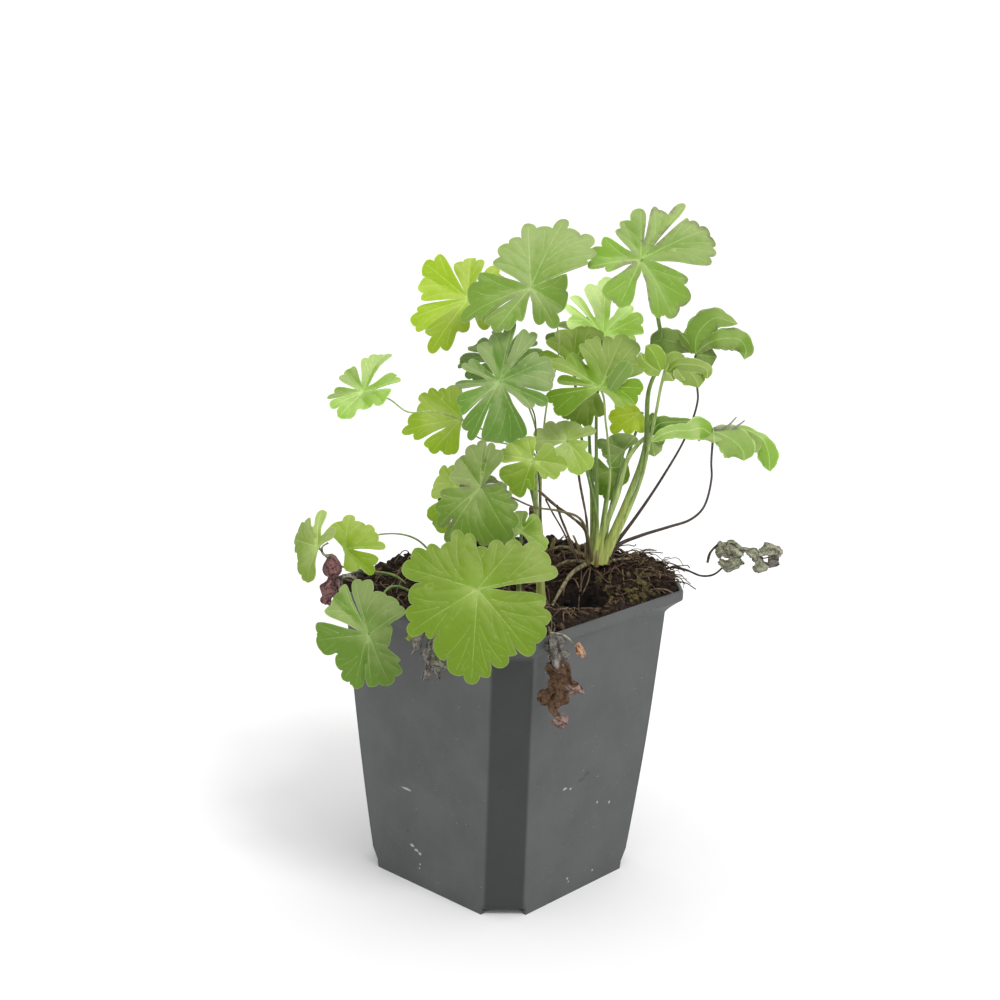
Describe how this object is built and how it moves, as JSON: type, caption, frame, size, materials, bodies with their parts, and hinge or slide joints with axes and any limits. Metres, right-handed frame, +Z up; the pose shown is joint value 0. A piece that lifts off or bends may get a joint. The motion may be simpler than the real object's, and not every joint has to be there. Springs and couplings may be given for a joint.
{
  "type": "potted hardy geranium",
  "caption": "Hardy geranium with lobed leaves on long stalks, growing in peat in a square tapered nursery pot that stands on its flat base.",
  "frame": {"origin": "centre of the pot's flat base, in the plane it stands on", "axes": "+Z up the plant's height; X and Y square to the pot's side walls, with the fullest leaves over the corner between +X and -Y"},
  "size_m": [0.1163, 0.1362, 0.2252],
  "materials": {
    "pot_plastic": "moulded, satin, scuffed",
    "peat": "damp, crumbly",
    "woody_crown": "rough bark",
    "leaf_fresh": "satin, finely hairy",
    "leaf_lime": "satin, finely hairy",
    "leaf_bluish": "satin, finely hairy",
    "leaf_sage": "satin, finely hairy",
    "leaf_pale": "satin, finely hairy",
    "leaf_dark": "satin, finely hairy",
    "withered_brown": "dry, crumpled",
    "withered_grey": "dry, crumpled",
    "withered_olive": "dry, crumpled",
    "dry_bud": "dry, ribbed"
  },
  "bodies": {
    "root": {"pot": "pot_plastic", "soil": "peat", "crown_main": "woody_crown", "crown_side": "woody_crown", "leaf_front_big": "leaf_fresh", "leaf_left_low": "leaf_bluish", "leaf_left_bud": "leaf_lime", "leaf_left_edge": "leaf_sage", "leaf_yellow": "leaf_lime", "leaf_top_left": "leaf_sage", "leaf_small_left": "leaf_sage", "leaf_left_yellow": "leaf_lime", "leaf_mid_left": "leaf_bluish", "leaf_centre": "leaf_fresh", "leaf_core_bright": "leaf_fresh", "leaf_core_dark": "leaf_dark", "leaf_top_right": "leaf_sage", "leaf_pale_behind": "leaf_pale", "leaf_right_upper": "leaf_bluish", "leaf_right_inner": "leaf_sage", "leaf_right_low": "leaf_sage", "leaf_right_low_inner": "leaf_dark", "leaf_lower_mid": "leaf_bluish", "leaf_centre_low": "leaf_lime", "leaf_pale_low": "leaf_pale", "leaf_yellow_behind": "leaf_lime", "leaf_inner_left": "leaf_dark", "leaf_inner_low": "leaf_fresh", "leaf_small_yellow": "leaf_lime", "leaf_small_fresh": "leaf_fresh", "leaf_back_left": "leaf_bluish", "leaf_back_mid": "leaf_fresh", "leaf_back_low": "leaf_sage", "withered_brown": "withered_brown", "withered_grey": "withered_grey", "withered_spray": "withered_olive", "dry_bud": "dry_bud"}
  },
  "joints": []
}
